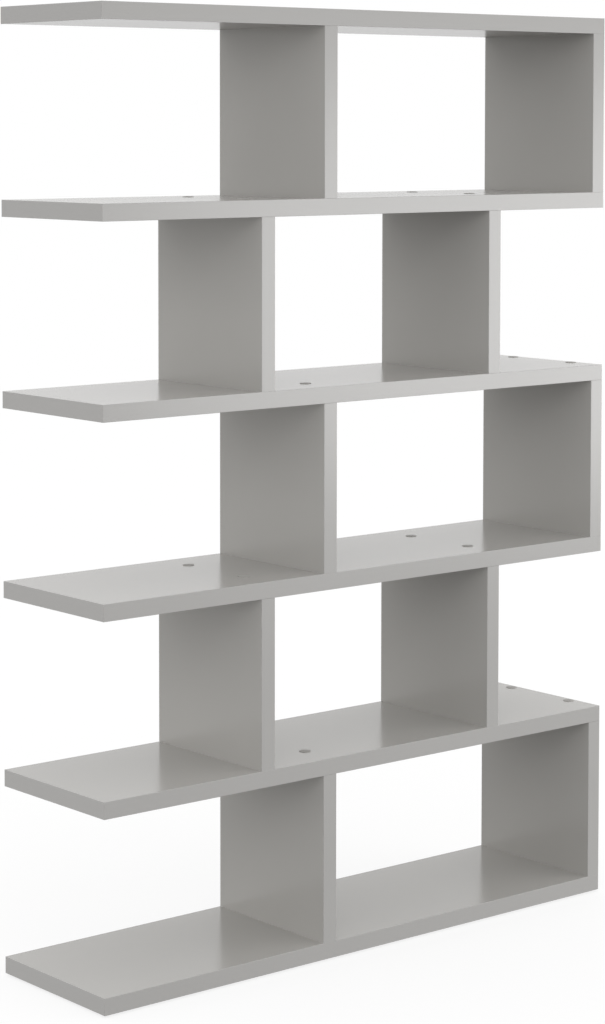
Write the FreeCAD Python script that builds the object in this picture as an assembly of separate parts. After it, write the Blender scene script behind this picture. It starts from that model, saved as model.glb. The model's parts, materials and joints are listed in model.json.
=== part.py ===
"""Zigzag bookcase: six shelves on five tiers of staggered uprights, bolted together.

Lengths are in millimetres. +Z is up, +X runs along the shelves and the front faces -Y.
The origin is on the floor, at the centre of the footprint.
"""

import FreeCAD
import Part

import math
import os

from FreeCAD import Vector

# Boards
LENGTH = 1200.0  # every shelf, from its left end to its right end
DEPTH = 300.0  # every board, from front to rear, edging included
SHELF_THICKNESS = 30.0
UPRIGHT_THICKNESS = 30.0
UPRIGHT_HEIGHT = 306.0  # the clear height between two shelves
TIERS = 5

# Places of the uprights
LEFT_OVERHANG = 343.0  # even tiers: left end of the shelf to the left upright
RIGHT_OVERHANG = 277.0  # even tiers: right upright to the right end of the shelf
STAGGER = 144.0  # the middle upright of an odd tier stands this far right of the left uprights

# Edging strips, glued to the cut edges that show
EDGING = 1.0  # strip thickness
ARRIS_RADIUS = 0.6  # rounding of a strip's outer edges
ARRIS_WALL_SHARE = 0.9  # most of the strip's thickness that the rounding may take

# Places of the fasteners in a joint, measured across the depth
BOLT_SPACING = 160.0
DOWEL_FROM_BOLT = 32.0  # each dowel stands this far inside its bolt
DOWEL_SPACING = BOLT_SPACING - 2 * DOWEL_FROM_BOLT

# Clearances
FIT = 0.05  # between a fastener and its bore, on the radius
OVERRUN = 1.0  # how far a cutter runs past the face that it opens

# Connector bolt with a hexagon socket
BOLT_DIAMETER = 6.0
BOLT_GRIP = 21.0  # how far the bolt reaches into the upright
BOLT_POINT = 0.8  # chamfer at the tip
BOLT_HEAD_DIAMETER = 13.0
BOLT_HEAD_HEIGHT = 3.0
BOLT_HEAD_CHAMFER = 0.5
SOCKET_ACROSS_FLATS = 4.0
SOCKET_DEPTH = 2.2
SOCKET_SIDES = 6
BOLT_CLEARANCE = 0.5  # round the shank, on the radius
BOLT_HOLE_DIAMETER = BOLT_DIAMETER + 2 * BOLT_CLEARANCE
BOLT_TIP_SPARE = 3.0  # hole left free past the bolt's tip

# Screw-in insert nut in the end of an upright
INSERT_WALL = 1.75  # from the bore to the root of the outer thread
INSERT_THREAD_HEIGHT = 1.2
INSERT_BORE_DIAMETER = BOLT_DIAMETER + 2 * FIT
INSERT_ROOT_DIAMETER = INSERT_BORE_DIAMETER + 2 * INSERT_WALL
INSERT_DIAMETER = INSERT_ROOT_DIAMETER + 2 * INSERT_THREAD_HEIGHT
INSERT_LENGTH = 15.0
INSERT_SETBACK = 1.0  # below the upright's end face
INSERT_THREADS = 4  # turns of the coarse outer thread, drawn as rings
INSERT_SLOT_WIDTH = 2.0
INSERT_SLOT_DEPTH = 3.0

# Fluted wooden dowel
DOWEL_DIAMETER = 8.0
DOWEL_IN_SHELF = 12.0
DOWEL_IN_UPRIGHT = 23.0
DOWEL_CHAMFER = 1.0
DOWEL_END_SPARE = 1.0  # bore left free past each end
FLUTES = 6
FLUTE_RADIUS = 0.6

# Recess for a bolt's head, and the cover cap that plugs it
RECESS_CLEARANCE = 1.0  # round the bolt's head, on the radius
RECESS_DIAMETER = BOLT_HEAD_DIAMETER + 2 * RECESS_CLEARANCE
CAP_LIP = 3.0  # how far the cap's rim reaches past the recess
CAP_DIAMETER = RECESS_DIAMETER + 2 * CAP_LIP
CAP_RIM = 0.9  # height of the cap's edge above the board
CAP_CROWN = 0.7  # rise of the cap's middle above its edge
CAP_SKIRT_DEPTH = 2.5
CAP_SKIRT_WALL = 1.2
CAP_SKIRT_TAPER = 0.3  # lead-in at the skirt's lower edge
RECESS_SPARE = 0.5  # between the bolt's head and the skirt
RECESS_DEPTH = BOLT_HEAD_HEIGHT + RECESS_SPARE + CAP_SKIRT_DEPTH

# Nail-on glides under the bottom shelf
NAIL_DIAMETER = 2.2
NAIL_LENGTH = 14.0  # in the board
NAIL_POINT = 3.0
NAIL_TIP_DIAMETER = 0.4  # blunt end of the point
NAIL_HEAD_DIAMETER = 7.0
NAIL_HEAD_HEIGHT = 1.0
GLIDE_DIAMETER = 22.0
GLIDE_SOLE = 1.5  # plastic under the nail's head
GLIDE_CROWN = 1.5  # plastic over the nail's head
GLIDE_HEIGHT = GLIDE_SOLE + NAIL_HEAD_HEIGHT + GLIDE_CROWN
GLIDE_CHAMFER = 1.0
GLIDE_FROM_END = 60.0  # centre of the glides at the free end
GLIDE_FROM_EDGE = 25.0  # centre of every glide from the front or rear

UP = Vector(0, 0, 1)
HALF_TURN = 180.0
FULL_TURN = 360.0


def shelf_bottom(shelf):
    """Height of a shelf's underside; shelf 0 is the lowest."""
    return GLIDE_HEIGHT + shelf * (SHELF_THICKNESS + UPRIGHT_HEIGHT)


def shelf_top(shelf):
    """Height of a shelf's upper face."""
    return shelf_bottom(shelf) + SHELF_THICKNESS


def shelf_name(shelf):
    """bottom_shelf, shelf_2 and so on, then top_shelf."""
    return {0: "bottom_shelf", TIERS: "top_shelf"}.get(shelf, f"shelf_{shelf + 1}")


def uprights_of(tier):
    """Name and centre of each upright of a tier; tier 0 is the lowest and counts as odd."""
    left_end, right_end = -LENGTH / 2, LENGTH / 2
    half = UPRIGHT_THICKNESS / 2
    left = left_end + LEFT_OVERHANG + half
    if tier % 2 == 0:
        places = {"middle": left + STAGGER, "end": right_end - half}
    else:
        places = {"left": left, "right": right_end - RIGHT_OVERHANG - half}
    return {f"tier_{tier + 1}_{side}_upright": x for side, x in places.items()}


def foot_joint(tier, x):
    """Place of an upright's lower joint: x, seam height, and turned over."""
    return x, shelf_top(tier), True


def head_joint(tier, x):
    """Place of an upright's upper joint: x, seam height, and not turned over."""
    return x, shelf_bottom(tier + 1), False


def joints_of_tier(tier):
    """Both joints of every upright of a tier."""
    columns = uprights_of(tier).values()
    return [foot_joint(tier, x) for x in columns] + [head_joint(tier, x) for x in columns]


def joints_of_shelf(shelf):
    """Joints to the uprights that carry a shelf, then to those that stand on it."""
    joints = []
    if shelf > 0:
        joints += [head_joint(shelf - 1, x) for x in uprights_of(shelf - 1).values()]
    if shelf < TIERS:
        joints += [foot_joint(shelf, x) for x in uprights_of(shelf).values()]
    return joints


def seated(shape, joint, y):
    """A copy of a shape, drawn with the seam at z = 0 and the shelf above it, put in its joint."""
    x, z, turned_over = joint
    copy = shape.copy()
    if turned_over:
        copy.rotate(Vector(0, 0, 0), Vector(1, 0, 0), HALF_TURN)
    copy.translate(Vector(x, y, z))
    return copy


def row_across(shape, joint, spacing):
    """A pair of copies in a joint, either side of the middle of the depth."""
    return [seated(shape, joint, y) for y in (-spacing / 2, spacing / 2)]


def turned(points):
    """A solid turned about Z from its half section, as (radius, height) corners."""
    corners = [Vector(r, 0, z) for r, z in points]
    section = Part.Face(Part.makePolygon(corners + corners[:1]))
    return section.revolve(Vector(0, 0, 0), UP, FULL_TURN)


def rod(diameter, low, high):
    """An upright cylinder between two heights."""
    return Part.makeCylinder(diameter / 2, high - low, Vector(0, 0, low), UP)


def connector_bolt():
    """Bolt with its head seated in the shelf's recess and its tip in the upright."""
    seat = SHELF_THICKNESS - RECESS_DEPTH
    top = seat + BOLT_HEAD_HEIGHT
    tip = -BOLT_GRIP
    shank = BOLT_DIAMETER / 2
    head = BOLT_HEAD_DIAMETER / 2
    body = turned([
        (0, tip),
        (shank - BOLT_POINT, tip),
        (shank, tip + BOLT_POINT),
        (shank, seat),
        (head, seat),
        (head, top - BOLT_HEAD_CHAMFER),
        (head - BOLT_HEAD_CHAMFER, top),
        (0, top),
    ])
    corner = SOCKET_ACROSS_FLATS / 2 / math.cos(math.pi / SOCKET_SIDES)
    angles = [2 * math.pi * side / SOCKET_SIDES for side in range(SOCKET_SIDES + 1)]
    floor = top - SOCKET_DEPTH
    outline = [Vector(corner * math.cos(a), corner * math.sin(a), floor) for a in angles]
    socket = Part.Face(Part.makePolygon(outline)).extrude(UP * (SOCKET_DEPTH + OVERRUN))
    return body.cut(socket)


def insert_nut():
    """Slotted insert nut with a coarse outer thread, drawn as rings."""
    bore = INSERT_BORE_DIAMETER / 2
    root = INSERT_ROOT_DIAMETER / 2
    crest = INSERT_DIAMETER / 2
    mouth = -INSERT_SETBACK
    pitch = INSERT_LENGTH / INSERT_THREADS
    outside = [(root, mouth)]
    for ring in range(INSERT_THREADS):
        outside.append((crest, mouth - pitch * ring - pitch / 2))
        outside.append((root, mouth - pitch * (ring + 1)))
    foot = mouth - INSERT_LENGTH
    nut = turned([(bore, mouth)] + outside + [(bore, foot)])
    slot = Part.makeBox(
        INSERT_DIAMETER,
        INSERT_SLOT_WIDTH,
        INSERT_SLOT_DEPTH + OVERRUN,
        Vector(-crest, -INSERT_SLOT_WIDTH / 2, mouth - INSERT_SLOT_DEPTH),
    )
    return nut.cut(slot)


def dowel():
    """Wooden dowel with chamfered ends and glue flutes."""
    radius = DOWEL_DIAMETER / 2
    low = -DOWEL_IN_UPRIGHT
    high = DOWEL_IN_SHELF
    body = turned([
        (0, low),
        (radius - DOWEL_CHAMFER, low),
        (radius, low + DOWEL_CHAMFER),
        (radius, high - DOWEL_CHAMFER),
        (radius - DOWEL_CHAMFER, high),
        (0, high),
    ])
    flutes = []
    for flute in range(FLUTES):
        groove = rod(2 * FLUTE_RADIUS, low - OVERRUN, high + OVERRUN)
        groove.translate(Vector(radius, 0, 0))
        groove.rotate(Vector(0, 0, 0), UP, FULL_TURN * flute / FLUTES)
        flutes.append(groove)
    return body.cut(flutes)


def cover_cap():
    """Crowned plastic cap with a hollow skirt that plugs the bolt's recess."""
    face = SHELF_THICKNESS
    edge = face + CAP_RIM
    top = edge + CAP_CROWN
    foot = face - CAP_SKIRT_DEPTH
    rim = CAP_DIAMETER / 2
    skirt = RECESS_DIAMETER / 2 - FIT
    inner = skirt - CAP_SKIRT_WALL
    crown_radius = (rim ** 2 + CAP_CROWN ** 2) / (2 * CAP_CROWN)
    halfway_drop = crown_radius - math.sqrt(crown_radius ** 2 - (rim / 2) ** 2)
    crown = Part.Arc(
        Vector(0, 0, top),
        Vector(rim / 2, 0, top - halfway_drop),
        Vector(rim, 0, edge),
    )
    below = [
        (rim, edge),
        (rim, face),
        (skirt, face),
        (skirt, foot + CAP_SKIRT_TAPER),
        (skirt - CAP_SKIRT_TAPER, foot),
        (inner, foot),
        (inner, face),
        (0, face),
        (0, top),
    ]
    sides = Part.makePolygon([Vector(r, 0, z) for r, z in below])
    section = Part.Wire([crown.toShape()] + sides.Edges)
    return Part.Face(section).revolve(Vector(0, 0, 0), UP, FULL_TURN)


def dowel_bore():
    """Bore for a dowel, through the seam into both boards."""
    bore = DOWEL_DIAMETER + 2 * FIT
    return rod(bore, -DOWEL_IN_UPRIGHT - DOWEL_END_SPARE, DOWEL_IN_SHELF + DOWEL_END_SPARE)


def shelf_bores(joint):
    """What a joint takes out of its shelf: bolt holes, head recesses and dowel bores."""
    hole = rod(BOLT_HOLE_DIAMETER, -OVERRUN, SHELF_THICKNESS + OVERRUN)
    recess = rod(RECESS_DIAMETER, SHELF_THICKNESS - RECESS_DEPTH, SHELF_THICKNESS + OVERRUN)
    bolt_ways = row_across(hole.fuse(recess), joint, BOLT_SPACING)
    return bolt_ways + row_across(dowel_bore(), joint, DOWEL_SPACING)


def upright_bores(joint):
    """What a joint takes out of its upright: insert bores, bolt tip ways and dowel bores."""
    seat = rod(INSERT_DIAMETER + 2 * FIT, -INSERT_SETBACK - INSERT_LENGTH, OVERRUN)
    tip_way = rod(BOLT_HOLE_DIAMETER, -BOLT_GRIP - BOLT_TIP_SPARE, OVERRUN)
    bolt_ways = row_across(seat.fuse(tip_way), joint, BOLT_SPACING)
    return bolt_ways + row_across(dowel_bore(), joint, DOWEL_SPACING)


def glide_places():
    """Centres of the glides: under both uprights of the lowest tier and under the free end."""
    columns = [-LENGTH / 2 + GLIDE_FROM_END] + list(uprights_of(0).values())
    reach = DEPTH / 2 - GLIDE_FROM_EDGE
    return [Vector(x, y, 0) for x in columns for y in (-reach, reach)]


def at_glides(shape):
    """A copy of a shape at every glide."""
    copies = []
    for place in glide_places():
        copy = shape.copy()
        copy.translate(place)
        copies.append(copy)
    return copies


def glide_nail():
    """Nail whose head is moulded into the glide."""
    shank = NAIL_DIAMETER / 2
    head = NAIL_HEAD_DIAMETER / 2
    head_top = GLIDE_SOLE + NAIL_HEAD_HEIGHT
    tip = GLIDE_HEIGHT + NAIL_LENGTH
    return turned([
        (0, GLIDE_SOLE),
        (head, GLIDE_SOLE),
        (head, head_top),
        (shank, head_top),
        (shank, tip - NAIL_POINT),
        (NAIL_TIP_DIAMETER / 2, tip),
        (0, tip),
    ])


def glide():
    """Plastic foot moulded round its nail."""
    radius = GLIDE_DIAMETER / 2
    foot = turned([
        (0, 0),
        (radius - GLIDE_CHAMFER, 0),
        (radius, GLIDE_CHAMFER),
        (radius, GLIDE_HEIGHT),
        (0, GLIDE_HEIGHT),
    ])
    return foot.cut(glide_nail())


def edging_strip(width, height, round_level, round_plumb):
    """A strip with its outer face on y = 0, centred on x = 0; says which outer edges are rounded."""
    strip = Part.makeBox(width, EDGING, height, Vector(-width / 2, 0, 0))
    outer = [edge for edge in strip.Edges if edge.BoundBox.YMax < EDGING / 2]
    level = [edge for edge in outer if edge.BoundBox.ZLength < edge.BoundBox.XLength]
    plumb = [edge for edge in outer if edge.BoundBox.ZLength > edge.BoundBox.XLength]
    chosen = (level if round_level else []) + (plumb if round_plumb else [])
    arris = min(ARRIS_RADIUS, EDGING * ARRIS_WALL_SHARE)
    return strip.makeFillet(arris, chosen)


def strip_on(strip, quarter_turns, reach, x, z):
    """A strip turned to face outwards and moved to the edge that it covers."""
    placed = strip.copy()
    placed.translate(Vector(0, -reach, 0))
    placed.rotate(Vector(0, 0, 0), UP, quarter_turns * FULL_TURN / 4)
    placed.translate(Vector(x, 0, z))
    return placed


def shelf_panel(shelf):
    """Board of a shelf, without its edging, bored for the joints above and below."""
    length = LENGTH - 2 * EDGING
    depth = DEPTH - 2 * EDGING
    corner = Vector(-length / 2, -depth / 2, shelf_bottom(shelf))
    board = Part.makeBox(length, depth, SHELF_THICKNESS, corner)
    cutters = []
    for joint in joints_of_shelf(shelf):
        cutters += shelf_bores(joint)
    if shelf == 0:
        cutters += at_glides(glide_nail())
    return board.cut(cutters)


def shelf_edging(shelf):
    """Four strips round a shelf; the front and rear ones cover the ends of the other two."""
    z = shelf_bottom(shelf)
    long_strip = edging_strip(LENGTH, SHELF_THICKNESS, True, True)
    end_strip = edging_strip(DEPTH - 2 * EDGING, SHELF_THICKNESS, True, False)
    round_the_board = [(long_strip, DEPTH / 2), (end_strip, LENGTH / 2)] * 2
    strips = []
    for quarter, (strip, reach) in enumerate(round_the_board):
        strips.append(strip_on(strip, quarter, reach, 0, z))
    return strips


def upright_panel(tier, x):
    """Board of an upright, without its edging, bored at both ends."""
    depth = DEPTH - 2 * EDGING
    corner = Vector(x - UPRIGHT_THICKNESS / 2, -depth / 2, shelf_top(tier))
    board = Part.makeBox(UPRIGHT_THICKNESS, depth, UPRIGHT_HEIGHT, corner)
    return board.cut(upright_bores(foot_joint(tier, x)) + upright_bores(head_joint(tier, x)))


def upright_edging(tier, x):
    """Front and rear strips of an upright."""
    strip = edging_strip(UPRIGHT_THICKNESS, UPRIGHT_HEIGHT, False, True)
    return [strip_on(strip, turn, DEPTH / 2, x, shelf_top(tier)) for turn in (0, 2)]


def in_joints(shape, joints, spacing):
    """A pair of copies of a fastener in each of several joints."""
    copies = []
    for joint in joints:
        copies += row_across(shape, joint, spacing)
    return copies


def tier_nodes(tier):
    """Nodes of a tier: its uprights with their edging, and the nuts and dowels in their ends."""
    nodes = {}
    for name, x in uprights_of(tier).items():
        nodes[f"{name}_panel"] = [upright_panel(tier, x)]
        nodes[f"{name}_edging"] = upright_edging(tier, x)
    joints = joints_of_tier(tier)
    nodes[f"tier_{tier + 1}_insert_nuts"] = in_joints(insert_nut(), joints, BOLT_SPACING)
    nodes[f"tier_{tier + 1}_dowels"] = in_joints(dowel(), joints, DOWEL_SPACING)
    return nodes


def shelf_nodes(shelf):
    """Nodes of a shelf: its board, edging, bolts and caps; recesses that face the floor have no caps."""
    name = shelf_name(shelf)
    joints = joints_of_shelf(shelf)
    nodes = {
        f"{name}_panel": [shelf_panel(shelf)],
        f"{name}_edging": shelf_edging(shelf),
        f"{name}_bolts": in_joints(connector_bolt(), joints, BOLT_SPACING),
    }
    if shelf > 0:
        nodes[f"{name}_cover_caps"] = in_joints(cover_cap(), joints, BOLT_SPACING)
    return nodes


def bookcase_nodes():
    """Every node of the bookcase by name, each a list of solids."""
    nodes = {"floor_glides": at_glides(glide()), "floor_glide_nails": at_glides(glide_nail())}
    for shelf in range(TIERS + 1):
        nodes.update(shelf_nodes(shelf))
    for tier in range(TIERS):
        nodes.update(tier_nodes(tier))
    return nodes


def main():
    os.makedirs("parts", exist_ok=True)
    for name, solids in bookcase_nodes().items():
        shape = solids[0] if len(solids) == 1 else Part.makeCompound(solids)
        shape.exportStep(os.path.join("parts", f"{name}.step"))


main()
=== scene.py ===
"""Looks of the zigzag bookcase: its finishes, turned fittings, floor, light and camera.

Lengths are in metres. +Z is up, +X runs along the shelves and the front faces -Y.
"""

import json
import math

import bpy
import numpy as np
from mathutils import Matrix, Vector


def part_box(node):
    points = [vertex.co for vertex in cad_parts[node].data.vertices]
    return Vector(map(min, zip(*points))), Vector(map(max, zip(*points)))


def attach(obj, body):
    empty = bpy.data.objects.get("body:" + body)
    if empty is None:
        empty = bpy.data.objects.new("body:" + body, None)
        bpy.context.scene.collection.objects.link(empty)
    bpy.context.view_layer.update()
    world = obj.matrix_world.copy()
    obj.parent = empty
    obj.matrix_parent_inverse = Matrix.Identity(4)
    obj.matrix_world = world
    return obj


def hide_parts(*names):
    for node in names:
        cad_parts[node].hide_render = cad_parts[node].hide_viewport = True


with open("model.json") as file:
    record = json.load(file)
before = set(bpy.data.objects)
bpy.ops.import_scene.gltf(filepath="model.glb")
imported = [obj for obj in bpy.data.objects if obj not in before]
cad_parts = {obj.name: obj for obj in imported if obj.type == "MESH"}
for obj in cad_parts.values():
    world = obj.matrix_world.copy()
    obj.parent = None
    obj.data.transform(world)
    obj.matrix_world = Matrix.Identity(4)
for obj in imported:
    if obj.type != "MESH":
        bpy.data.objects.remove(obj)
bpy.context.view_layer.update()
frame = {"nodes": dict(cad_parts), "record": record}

# Colours, linear: a finish drifts from the first of its two to the second
BOARD_GREYS = ((0.404, 0.393, 0.373), (0.416, 0.405, 0.385))
# Edging: partly the strip's own tone, partly painted light, lifted a trace so the front faces read brighter
EDGING_GREYS_WITH_PAINTED_LIGHT = ((0.416, 0.408, 0.396), (0.428, 0.420, 0.408))
CAP_GREYS = ((0.365, 0.355, 0.338), (0.385, 0.375, 0.358))
BOLT_GREYS = ((0.470, 0.480, 0.490), (0.560, 0.570, 0.580))
INSERT_GREYS = ((0.520, 0.500, 0.455), (0.620, 0.600, 0.550))
NAIL_GREYS = ((0.410, 0.410, 0.420), (0.500, 0.500, 0.510))
GLIDE_GREYS = ((0.600, 0.590, 0.560), (0.540, 0.528, 0.498))
BEECH_BROWNS = ((0.430, 0.270, 0.145), (0.640, 0.455, 0.280))
WHITE = (1.0, 1.0, 1.0)

# Roughness, which drifts with the colour
BOARD_ROUGHNESS = (0.185, 0.215)
EDGING_ROUGHNESS = (0.20, 0.24)
CAP_ROUGHNESS = (0.64, 0.76)
BOLT_ROUGHNESS = (0.23, 0.37)
INSERT_ROUGHNESS = (0.38, 0.52)
NAIL_ROUGHNESS = (0.29, 0.43)
GLIDE_ROUGHNESS = (0.36, 0.60)
BEECH_ROUGHNESS = (0.68, 0.76)
LACQUER_IOR = 1.50

# Texture of the finishes: waves to the metre, and rise in metres
NOISE_DETAIL = 2.0
NOISE_SCALE = 1.0  # the waves come from the mapping
CLOUD_WAVES = 6.0  # drifts of tone across a board
PEEL_WAVES = 340.0  # orange peel of the lacquer
PEEL_RISE = 0.000004
STIPPLE_WAVES = 900.0  # pressed into the edging
STIPPLE_RISE = 0.000006
GRAIN_WAVES = 2600.0  # moulded into the caps
GRAIN_RISE = 0.00002
MOTTLE_WAVES = 900.0  # on the metal
SCUFF_WAVES = 600.0  # on the glides
FLECK_WAVES = 900.0  # across the grain of the dowels
FLECK_WAVES_ALONG = 90.0

# Cover cap
CAP_RADIUS = 0.0105
CAP_RIM = 0.0009  # height of its edge above the board
CAP_CROWN = 0.0007  # rise of its middle above its edge
CAP_RIM_ROUND = 0.0005
SKIRT_RADIUS = 0.00745
SKIRT_WALL = 0.0012
SKIRT_DEPTH = 0.0025
SKIRT_TAPER = 0.0003
CAP_SIDES = 64
CAP_CROWN_RINGS = 9

# Connector bolt
BOLT_SPACING = 0.160  # between the two bolts of a joint
BOLT_RADIUS = 0.0030
BOLT_GRIP = 0.021  # how far it reaches into the upright
BOLT_POINT = 0.0008
HEAD_RADIUS = 0.0065
HEAD_HEIGHT = 0.0030
HEAD_CHAMFER = 0.0005
HEAD_DEPTH = 0.0030  # from the board's face down to the head's top
SOCKET_FLAT = 0.0020  # from its middle to a flat
SOCKET_DEPTH = 0.0022
SOCKET_SIDES = 6
THREAD_PITCH = 0.0010
THREAD_HEIGHT = 0.0005
THREAD_LENGTH = 0.020
THREAD_RINGS = 5  # to each turn
BOLT_SIDES = 36

# Nail-on glide
GLIDE_RADIUS = 0.011
GLIDE_ROUND = 0.0010
GLIDE_SOLE = 0.0015  # plastic under the nail's head
NAIL_RADIUS = 0.0011
NAIL_HEAD_RADIUS = 0.0035
NAIL_HEAD_HEIGHT = 0.0010
GLIDE_SIDES = 64

# Surfaces of the turned fittings
FULL_TURN = 2 * math.pi
QUARTER_TURN = math.pi / 2
ROUND_STEPS = 7  # points on a quarter round
SHARP_ANGLE = math.radians(35.0)
FACE_UP = 1.0  # side of a fitting that is drawn upright
FACE_DOWN = -1.0  # side of one that is turned over

# Camera, fitted to the photograph's straight edges with the whole bookcase in the frame
CAMERA_PLACE = Vector((-3.2206, -3.7697, 1.5108))
CAMERA_YAW = math.radians(39.081)
CAMERA_TILT = math.radians(3.258)
CAMERA_LENS = 94.43
CAMERA_SHIFT = (0.05, -0.23)

# Floor and light
FLOOR_HALF_SIZE = 30.0
FLOOR_GLOW = 0.19  # light that comes up from the floor
FLOOR_SHADOW_SHARE = 0.20
WHITE_STRENGTH = 1.0
LIGHT_AIM = Vector((0.0, 0.0, 0.9))
SOFT_BOXES = {  # place, width, height, watts
    "front_right_box": ((3.9, -3.9, 0.9), 2.6, 1.5, 53.0),
    "right_box": ((4.9, -2.5, 0.6), 1.6, 1.2, 42.0),
    "front_left_box": ((-2.6, -3.2, 2.6), 2.0, 1.6, 23.0),
    "left_box": ((-3.6, 0.3, 0.5), 2.0, 1.0, 12.0),
}


class Wire:
    """A shader socket that takes part in arithmetic: each + or * adds a Math node to the socket's tree."""

    def __init__(self, shader, socket):
        self.shader = shader
        self.socket = socket

    def _maths(self, operation, first, second):
        return self.shader.node("Math", {"operation": operation}, {"Value": first, "Value_001": second})

    def __add__(self, other):
        return self._maths("ADD", self, other)

    def __radd__(self, other):
        return self._maths("ADD", other, self)

    def __mul__(self, other):
        return self._maths("MULTIPLY", self, other)

    def __rmul__(self, other):
        return self._maths("MULTIPLY", other, self)


class Shader:
    """The node tree of a material or of the world."""

    def __init__(self, owner):
        owner.use_nodes = True
        self.tree = owner.node_tree
        self.tree.nodes.clear()

    def node(self, kind, settings=None, inputs=None, output=None):
        """Adds a node of a kind, sets it up, gives its sockets values or wires, and returns one output."""
        made = self.tree.nodes.new("ShaderNode" + kind)
        for name, value in (settings or {}).items():
            setattr(made, name, value)
        for name, value in (inputs or {}).items():
            socket = self.find(made.inputs, name)
            if isinstance(value, Wire):
                self.tree.links.new(value.socket, socket)
            else:
                socket.default_value = value
        if not made.outputs:
            return None
        return Wire(self, self.find(made.outputs, output) if output else made.outputs[0])

    @staticmethod
    def find(sockets, name):
        """The socket with an identifier, or else with a name."""
        found = [socket for socket in sockets if socket.identifier == name]
        return found[0] if found else sockets[name]


def rgba(colour):
    """A colour with full alpha."""
    return (*colour, 1.0)


def new_material(name):
    """An empty material and its shader."""
    material = bpy.data.materials.new(name)
    return material, Shader(material)


def noise(shader, waves, along=None):
    """Noise from 0 to 1 on the object's own coordinates, in waves to the metre, which may differ along Z."""
    place = shader.node("TexCoord", output="Object")
    stretched = shader.node("Mapping", None, {"Vector": place, "Scale": (waves, waves, along or waves)})
    inputs = {"Vector": stretched, "Scale": NOISE_SCALE, "Detail": NOISE_DETAIL}
    return shader.node("TexNoise", None, inputs, "Fac")


def blend(shader, share, colours):
    """Colour that goes from the first of two to the second as a share goes from 0 to 1."""
    first, second = colours
    inputs = {"Factor_Float": share, "A_Color": rgba(first), "B_Color": rgba(second)}
    return shader.node("Mix", {"data_type": "RGBA"}, inputs, "Result_Color")


def between(share, ends):
    """Value that goes from the first of two to the second as a share goes from 0 to 1."""
    first, second = ends
    return first + (second - first) * share


def relief(shader, height, rise):
    """A surface's normal, tilted by a height from 0 to 1 that stands for a rise in metres."""
    return shader.node("Bump", None, {"Distance": rise, "Height": height})


def end_material(shader, **sockets):
    """Ends a material with its one surface; the sockets' names are written with _ for a space."""
    inputs = {name.replace("_", " "): value for name, value in sockets.items()}
    surface = shader.node("BsdfPrincipled", None, inputs)
    shader.node("OutputMaterial", None, {"Surface": surface})


def board_lacquer():
    """Satin grey lacquer: slow drifts of tone and gloss, and a faint orange peel."""
    material, shader = new_material("grey_board")
    cloud = noise(shader, CLOUD_WAVES)
    peel = noise(shader, PEEL_WAVES)
    end_material(
        shader,
        Base_Color=blend(shader, cloud, BOARD_GREYS),
        Roughness=between(cloud, BOARD_ROUGHNESS),
        IOR=LACQUER_IOR,
        Normal=relief(shader, peel, PEEL_RISE),
    )
    return material


def edging_strip():
    """Satin edging strip with a fine pressed stipple, a trace lighter than the boards: partly the strip's own
    tone, partly painted light that brightens the front faces.
    """
    material, shader = new_material("board_edging")
    cloud = noise(shader, CLOUD_WAVES)
    stipple = noise(shader, STIPPLE_WAVES)
    end_material(
        shader,
        # Painted light: the edging's lift over the board greys brightens the front faces
        Base_Color=blend(shader, cloud, EDGING_GREYS_WITH_PAINTED_LIGHT),
        Roughness=between(stipple, EDGING_ROUGHNESS),
        IOR=LACQUER_IOR,
        Normal=relief(shader, stipple, STIPPLE_RISE),
    )
    return material


def cap_plastic():
    """Matte moulded plastic with a fine spark-eroded grain."""
    material, shader = new_material("cap_plastic")
    grain = noise(shader, GRAIN_WAVES)
    end_material(
        shader,
        Base_Color=blend(shader, grain, CAP_GREYS),
        Roughness=between(grain, CAP_ROUGHNESS),
        Normal=relief(shader, grain, GRAIN_RISE),
    )
    return material


def fitting_metal(name, greys, roughness):
    """Plated, cast or drawn metal, mottled in tone and gloss."""
    material, shader = new_material(name)
    mottle = noise(shader, MOTTLE_WAVES)
    end_material(
        shader,
        Base_Color=blend(shader, mottle, greys),
        Metallic=1.0,
        Roughness=between(mottle, roughness),
    )
    return material


def dowel_beech():
    """Raw beech with short darker flecks along the dowel."""
    material, shader = new_material("dowel_beech")
    fleck = noise(shader, FLECK_WAVES, FLECK_WAVES_ALONG)
    end_material(
        shader,
        Base_Color=blend(shader, fleck, BEECH_BROWNS),
        Roughness=between(fleck, BEECH_ROUGHNESS),
    )
    return material


def glide_plastic():
    """Smooth pale plastic, a little scuffed."""
    material, shader = new_material("glide_plastic")
    scuff = noise(shader, SCUFF_WAVES)
    end_material(
        shader,
        Base_Color=blend(shader, scuff, GLIDE_GREYS),
        Roughness=between(scuff, GLIDE_ROUGHNESS),
    )
    return material


def make_finishes():
    """The finish of every material slot."""
    return {
        "grey_board": board_lacquer(),
        "board_edging": edging_strip(),
        "cap_plastic": cap_plastic(),
        "bolt_steel": fitting_metal("bolt_steel", BOLT_GREYS, BOLT_ROUGHNESS),
        "insert_zinc": fitting_metal("insert_zinc", INSERT_GREYS, INSERT_ROUGHNESS),
        "nail_steel": fitting_metal("nail_steel", NAIL_GREYS, NAIL_ROUGHNESS),
        "dowel_beech": dowel_beech(),
        "glide_plastic": glide_plastic(),
    }


def dress_nodes(finishes):
    """Gives every CAD node the finish of its slot in the record."""
    for part in frame["record"]["subparts"]:
        materials = frame["nodes"][part["node"]].data.materials
        materials.clear()
        materials.append(finishes[part["material_slot"]])


def quarter_round(radius, height, size, start):
    """Quarter circle of a section about (radius, height): size * (cos a, sin a), a falling from start."""
    turn = start - np.linspace(0.0, QUARTER_TURN, ROUND_STEPS)
    return np.column_stack((radius + size * np.cos(turn), height + size * np.sin(turn)))


def around(sides):
    """Angle of each side of a turned shape."""
    return FULL_TURN * np.arange(sides) / sides


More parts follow.
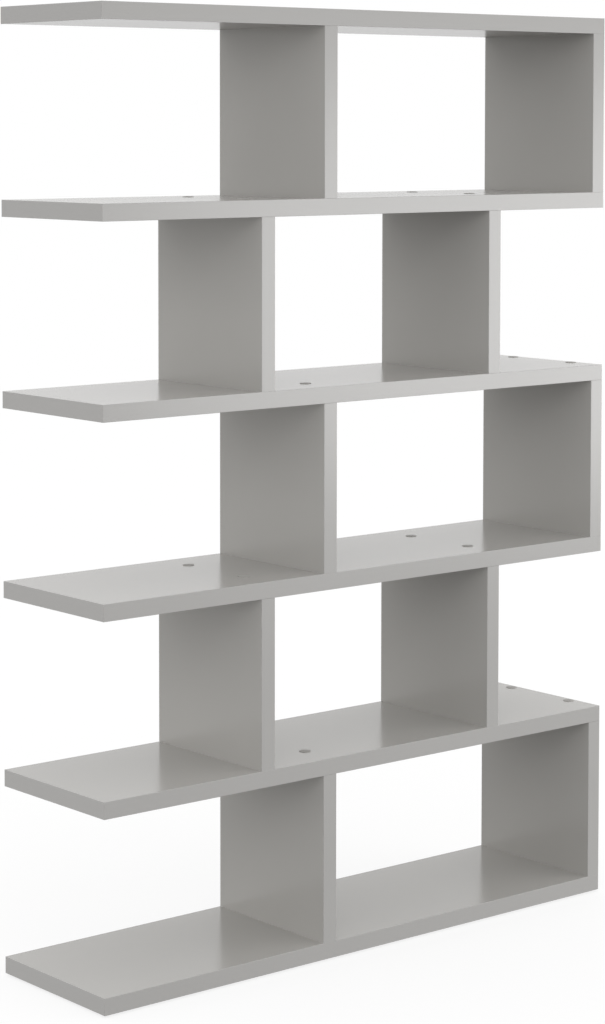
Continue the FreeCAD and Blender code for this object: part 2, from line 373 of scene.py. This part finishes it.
def turned(radius, height):
    """Points and faces of a half section turned about Z, closed on the axis at both of its ends.

    Ring i has the points (r cos a, r sin a, height_i) with r = radius[i, a]; the first and last rings are the
    ends on the axis, each drawn together to one point. The section runs from its upper end outwards and down,
    and the faces of ring i and i + 1 then look outwards.
    """
    rings, sides = radius.shape[0] - 2, radius.shape[1]
    angle = around(sides)
    inner = radius[1:-1]
    level = np.broadcast_to(height[1:-1, None], inner.shape)
    body = np.stack((inner * np.cos(angle), inner * np.sin(angle), level), axis=-1).reshape(-1, 3)
    points = np.vstack(([0.0, 0.0, height[0]], body, [0.0, 0.0, height[-1]]))
    here = 1 + np.arange(rings * sides).reshape(rings, sides)
    beside = np.roll(here, -1, axis=1)
    quads = np.stack((here[:-1], here[1:], beside[1:], beside[:-1]), axis=-1).reshape(-1, 4)
    top = np.stack((np.zeros(sides, int), here[0], beside[0]), axis=-1)
    foot = np.stack((np.full(sides, len(points) - 1), beside[-1], here[-1]), axis=-1)
    return points, [quads, top, foot]


def round_section(section, sides):
    """A plain round shape turned from (radius, height) points."""
    return turned(np.repeat(section[:, :1], sides, axis=1), section[:, 1])


def copies(shape, places):
    """One copy of a shape at each (x, y, z, side); face down turns (x, y, z) over to (x, -y, -z)."""
    points, faces = shape
    places = np.array(places)
    side = places[:, 3]
    flip = np.stack((np.ones_like(side), side, side), axis=-1)
    moved = points[None] * flip[:, None] + places[:, None, :3]
    first = len(points) * np.arange(len(places))
    spread = [(group[None] + first[:, None, None]).reshape(-1, group.shape[1]) for group in faces]
    return moved.reshape(-1, 3), spread


def new_piece(name, shape, finishes, slot, node):
    """A piece made of a shape's points and faces, which stands for a CAD node and has a slot's finish."""
    points, faces = shape
    mesh = bpy.data.meshes.new(name)
    mesh.from_pydata(points.tolist(), [], [face for group in faces for face in group.tolist()])
    mesh.shade_smooth()
    mesh.set_sharp_from_angle(angle=SHARP_ANGLE)
    mesh.materials.append(finishes[slot])
    piece = bpy.data.objects.new(name, mesh)
    bpy.context.scene.collection.objects.link(piece)
    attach(piece, "root")
    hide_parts(node)


def cover_cap():
    """Cap with its rim on z = 0: a crown, a rounded rim and a hollow skirt.

    The crown falls from its middle by its rise times (r / reach) squared.
    """
    reach = np.linspace(0.0, CAP_RADIUS - CAP_RIM_ROUND, CAP_CROWN_RINGS)
    fall = (reach / reach[-1]) ** 2
    crown = np.column_stack((reach, CAP_RIM + CAP_CROWN * (1 - fall)))
    rim = quarter_round(CAP_RADIUS - CAP_RIM_ROUND, CAP_RIM - CAP_RIM_ROUND, CAP_RIM_ROUND, QUARTER_TURN)
    hollow = SKIRT_RADIUS - SKIRT_WALL
    below = [
        (CAP_RADIUS, 0.0),
        (SKIRT_RADIUS, 0.0),
        (SKIRT_RADIUS, SKIRT_TAPER - SKIRT_DEPTH),
        (SKIRT_RADIUS - SKIRT_TAPER, -SKIRT_DEPTH),
        (hollow, -SKIRT_DEPTH),
        (hollow, 0.0),
        (0.0, 0.0),
    ]
    return round_section(np.vstack((crown[:-1], rim, below)), CAP_SIDES)


def bolt_ring(radius):
    """A plain round ring of the bolt."""
    return np.full(BOLT_SIDES, radius)


def connector_bolt(board):
    """Bolt below a board's face on z = 0: hexagon socket, flat head, plain shank and a screw thread.

    A flat of the hexagon is at r = flat / cos(angle from the flat's middle). The thread is a wave of the
    radius, down by its height times |2 * fraction(z / pitch + a / turn) - 1|, which climbs a pitch in a turn.
    """
    top = -HEAD_DEPTH
    seat = top - HEAD_HEIGHT
    tip = -board - BOLT_GRIP
    angle = around(BOLT_SIDES)
    flat_turn = FULL_TURN / SOCKET_SIDES
    socket = SOCKET_FLAT / np.cos(np.mod(angle, flat_turn) - flat_turn / 2)
    head = [
        (bolt_ring(0.0), top - SOCKET_DEPTH),
        (socket, top - SOCKET_DEPTH),
        (socket, top),
        (bolt_ring(HEAD_RADIUS - HEAD_CHAMFER), top),
        (bolt_ring(HEAD_RADIUS), top - HEAD_CHAMFER),
        (bolt_ring(HEAD_RADIUS), seat),
        (bolt_ring(BOLT_RADIUS), seat),
    ]
    turns = round((THREAD_LENGTH - BOLT_POINT) / THREAD_PITCH)
    level = np.linspace(tip + THREAD_LENGTH, tip + BOLT_POINT, turns * THREAD_RINGS + 1)
    phase = np.mod(level[:, None] / THREAD_PITCH + angle / FULL_TURN, 1.0)
    thread = BOLT_RADIUS - THREAD_HEIGHT * np.abs(2 * phase - 1)
    point = [(bolt_ring(BOLT_RADIUS - BOLT_POINT), tip), (bolt_ring(0.0), tip)]
    radius = np.vstack([ring for ring, _ in head] + [thread] + [ring for ring, _ in point])
    height = np.concatenate(([z for _, z in head], level, [z for _, z in point]))
    return turned(radius, height)


def glide_foot(height):
    """Round foot of a height, with a rounded sole on z = 0, hollowed for the nail it is moulded round."""
    head_top = GLIDE_SOLE + NAIL_HEAD_HEIGHT
    upper = [
        (0.0, GLIDE_SOLE),
        (NAIL_HEAD_RADIUS, GLIDE_SOLE),
        (NAIL_HEAD_RADIUS, head_top),
        (NAIL_RADIUS, head_top),
        (NAIL_RADIUS, height),
        (GLIDE_RADIUS, height),
    ]
    sole = quarter_round(GLIDE_RADIUS - GLIDE_ROUND, GLIDE_ROUND, GLIDE_ROUND, 0.0)
    return round_section(np.vstack((upper, sole, [(0.0, 0.0)])), GLIDE_SIDES)


def middle(node):
    """Middle of a CAD node's box."""
    low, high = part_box(node)
    return (low + high) / 2


def shelf_names():
    """Names of the shelves, from the floor up."""
    panels = [name for name in frame["nodes"] if name.endswith("_panel") and "shelf" in name]
    return [name.removesuffix("_panel") for name in sorted(panels, key=lambda panel: middle(panel).z)]


def upright_columns(tier):
    """Middle of each upright of a tier along the shelves; the lowest tier is 1."""
    names = [name for name in frame["nodes"] if name.startswith(f"tier_{tier}_")]
    return [middle(name).x for name in names if name.endswith("upright_panel")]


def bolt_places(level, shelf):
    """Places on a shelf's faces over its bolts: on top for the uprights below, underneath for those above."""
    low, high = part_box(f"{shelf}_panel")
    faces = [(x, high.z, FACE_UP) for x in upright_columns(level)]
    faces += [(x, low.z, FACE_DOWN) for x in upright_columns(level + 1)]
    return [(x, y, z, side) for x, z, side in faces for y in (-BOLT_SPACING / 2, BOLT_SPACING / 2)]


def fit_shelves(finishes):
    """Puts the bolts into every shelf, and the cover caps over them; the bottom shelf has no caps."""
    for level, shelf in enumerate(shelf_names()):
        low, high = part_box(f"{shelf}_panel")
        places = bolt_places(level, shelf)
        bolts = copies(connector_bolt(high.z - low.z), places)
        new_piece(f"{shelf}_connector_bolts", bolts, finishes, "bolt_steel", f"{shelf}_bolts")
        if level > 0:
            caps = copies(cover_cap(), places)
            new_piece(f"{shelf}_caps", caps, finishes, "cap_plastic", f"{shelf}_cover_caps")


def fit_glides(finishes):
    """Puts the feet under the bottom shelf, on the places of the CAD glides."""
    low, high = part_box("floor_glides")
    front, rear = low.y + GLIDE_RADIUS, high.y - GLIDE_RADIUS
    columns = [low.x + GLIDE_RADIUS] + upright_columns(1)
    places = [(x, y, low.z, FACE_UP) for x in columns for y in (front, rear)]
    feet = copies(glide_foot(high.z - low.z), places)
    new_piece("glide_feet", feet, finishes, "glide_plastic", "floor_glides")


def ray(shader, kind):
    """1 for rays of a kind, otherwise 0."""
    return shader.node("LightPath", output=f"Is {kind} Ray")


def glow(shader, strength):
    """White light from a surface."""
    return shader.node("Emission", None, {"Color": rgba(WHITE), "Strength": strength})


def mix(shader, share, first, second):
    """Surface that goes from the first of two to the second as a share goes from 0 to 1."""
    return shader.node("MixShader", None, {"Fac": share, "Shader": first, "Shader_001": second})


def floor_white():
    """Floor that is seen as white with a trace of the shadow, and gives a little light from below."""
    material, shader = new_material("floor")
    material.cycles.emission_sampling = "NONE"
    shaded = shader.node("BsdfDiffuse", None, {"Color": rgba(WHITE)})
    white = mix(shader, FLOOR_SHADOW_SHARE, glow(shader, WHITE_STRENGTH), shaded)
    seen = ray(shader, "Camera") + ray(shader, "Glossy") + ray(shader, "Transmission")
    surface = mix(shader, seen, glow(shader, FLOOR_GLOW), white)
    shader.node("OutputMaterial", None, {"Surface": surface})
    return material


def lay_floor():
    """A wide level floor under the glides."""
    half = FLOOR_HALF_SIZE
    mesh = bpy.data.meshes.new("floor")
    corners = [(-half, -half, 0), (half, -half, 0), (half, half, 0), (-half, half, 0)]
    mesh.from_pydata(corners, [], [(0, 1, 2, 3)])
    mesh.materials.append(floor_white())
    floor = bpy.data.objects.new("floor", mesh)
    bpy.context.scene.collection.objects.link(floor)


def light_sky():
    """An even white sky all round."""
    world = bpy.data.worlds.new("studio")
    bpy.context.scene.world = world
    shader = Shader(world)
    sky = shader.node("Background", None, {"Color": rgba(WHITE), "Strength": WHITE_STRENGTH})
    shader.node("OutputWorld", None, {"Surface": sky})


def hang_lights():
    """Soft boxes that face the middle of the bookcase."""
    for name, (place, width, height, power) in SOFT_BOXES.items():
        lamp = bpy.data.lights.new(name, "AREA")
        lamp.shape = "RECTANGLE"
        lamp.size = width
        lamp.size_y = height
        lamp.energy = power
        box = bpy.data.objects.new(name, lamp)
        box.location = place
        box.rotation_euler = (LIGHT_AIM - Vector(place)).to_track_quat("-Z", "Y").to_euler()
        bpy.context.scene.collection.objects.link(box)


def set_camera():
    """Camera at the photograph's viewing angle."""
    data = bpy.data.cameras.new("photo_camera")
    data.lens = CAMERA_LENS
    data.shift_x, data.shift_y = CAMERA_SHIFT
    camera = bpy.data.objects.new("photo_camera", data)
    level = math.cos(CAMERA_TILT)
    ahead = Vector((math.sin(CAMERA_YAW) * level, math.cos(CAMERA_YAW) * level, -math.sin(CAMERA_TILT)))
    camera.location = CAMERA_PLACE
    camera.rotation_euler = ahead.to_track_quat("-Z", "Y").to_euler()
    bpy.context.scene.collection.objects.link(camera)
    bpy.context.scene.camera = camera


finishes = make_finishes()
dress_nodes(finishes)
fit_shelves(finishes)
fit_glides(finishes)
lay_floor()
light_sky()
hang_lights()
set_camera()
bpy.context.scene.view_settings.view_transform = "Standard"
